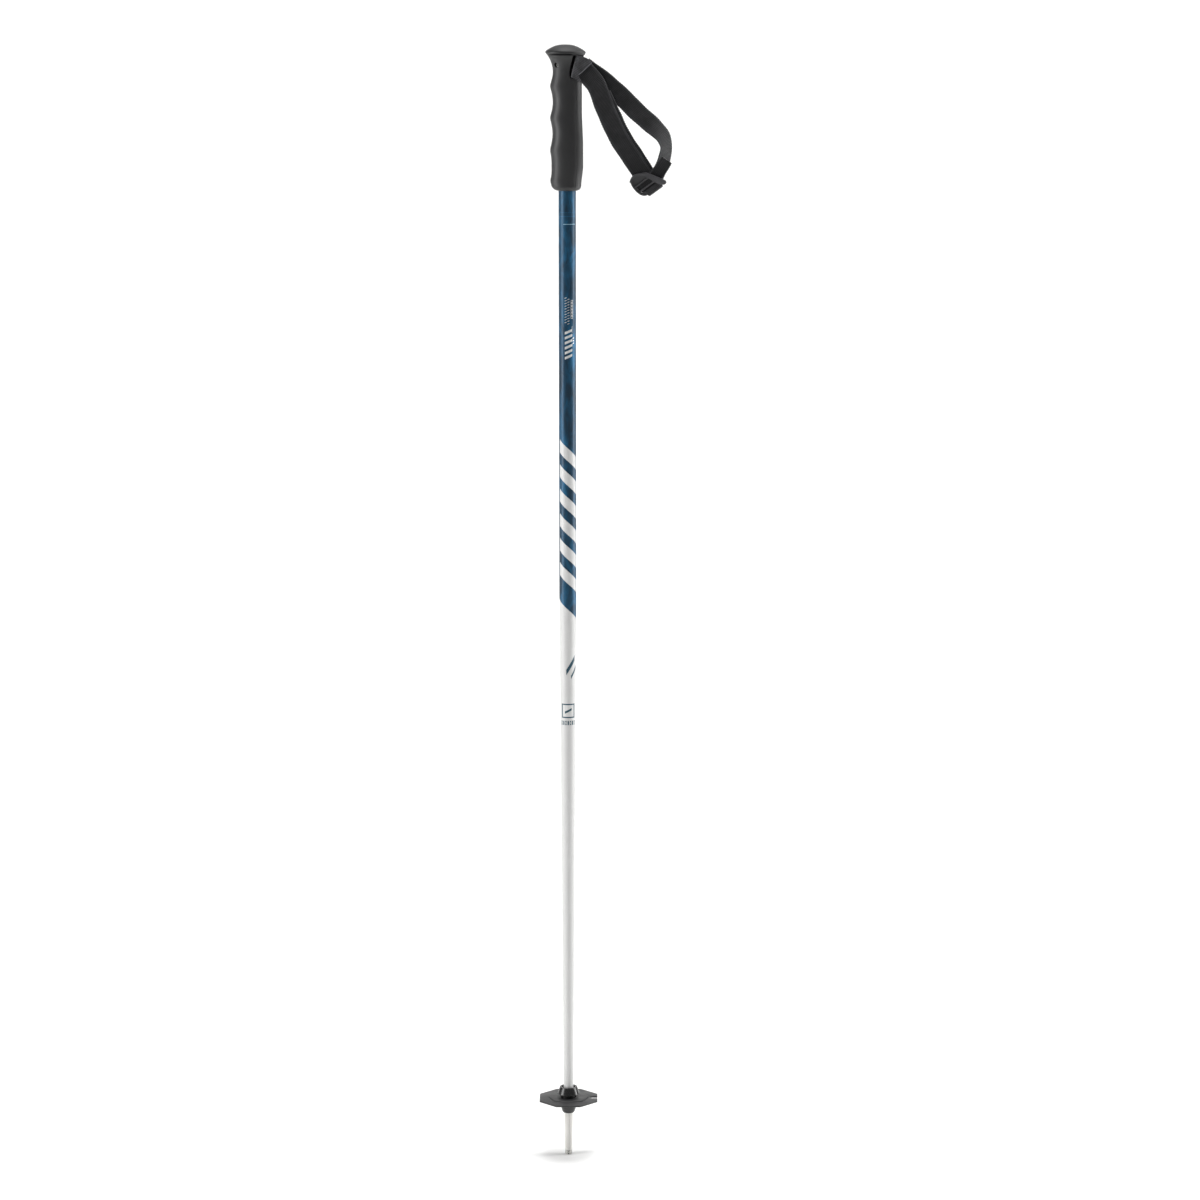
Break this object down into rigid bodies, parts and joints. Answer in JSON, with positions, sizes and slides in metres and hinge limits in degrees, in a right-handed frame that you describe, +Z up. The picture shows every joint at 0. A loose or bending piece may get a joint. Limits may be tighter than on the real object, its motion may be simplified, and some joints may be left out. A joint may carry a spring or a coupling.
{
  "type": "ski pole",
  "caption": "Slim tapered alpine ski pole with a moulded finger grip, webbing wrist strap and buckle, octagonal basket and a steel tip.",
  "frame": {"origin": "centre of the flat end face of the tip", "axes": "+Z up along the pole to the top of the grip, +X to the side where the strap hangs, -X to the finger ridges, +Y completes a right-handed frame"},
  "size_m": [0.1234, 0.055, 1.05],
  "materials": {
    "grip_rubber": "soft-touch matte, finely textured",
    "cap_plastic": "satin moulded",
    "tube_paint": "satin metallic blue paint above, pale grey paint below",
    "ferrule_plastic": "moulded satin",
    "tip_steel": "bright turned",
    "stub_steel": "dark hardened",
    "screw_steel": "zinc plated",
    "basket_plastic": "matte moulded",
    "collar_plastic": "semi-gloss moulded",
    "webbing": "ribbed woven polyester",
    "thread": "sewn thread",
    "buckle_plastic": "satin moulded"
  },
  "bodies": {
    "pole": {"grip_body": "grip_rubber", "grip_cap": "cap_plastic", "strap_screw": "screw_steel", "shaft_tube": "tube_paint", "shaft_top_plug": "basket_plastic", "tip_ferrule": "ferrule_plastic", "tip_crown": "tip_steel", "tip_stub": "stub_steel", "strap_anchor": "webbing", "strap_root_fold": "webbing", "strap_stitching": "thread"},
    "basket": {"basket_hub": "collar_plastic", "basket_disc": "basket_plastic"},
    "strap_loop": {"strap_front_limb": "webbing", "strap_inner_layer": "webbing", "strap_back_limb": "webbing", "strap_bend": "webbing"},
    "buckle": {"buckle_frame": "buckle_plastic", "strap_buckle_turn": "webbing"},
    "tail": {"strap_tail": "webbing"}
  },
  "joints": [
    {"name": "strap_fold", "type": "hinge", "parent": "pole", "child": "strap_loop", "pos_m": [0.01735, -0.012, 1.02845], "axis": [-0.7347, 0, -0.6784], "range_deg": [-4, 95]},
    {"name": "buckle_tilt", "type": "hinge", "parent": "strap_loop", "child": "buckle", "pos_m": [0.06742, -0.0141, 0.93439], "axis": [-0.809, 0, -0.5878], "range_deg": [0, 40]},
    {"name": "tail_slide", "type": "slide", "parent": "strap_loop", "child": "tail", "axis": [0.543, 0, 0.8397], "range_m": [0, 0.012]},
    {"name": "basket_spin", "type": "hinge", "parent": "pole", "child": "basket", "pos_m": [0, 0, 0.0555], "axis": [0, 0, 1], "continuous": true}
  ]
}
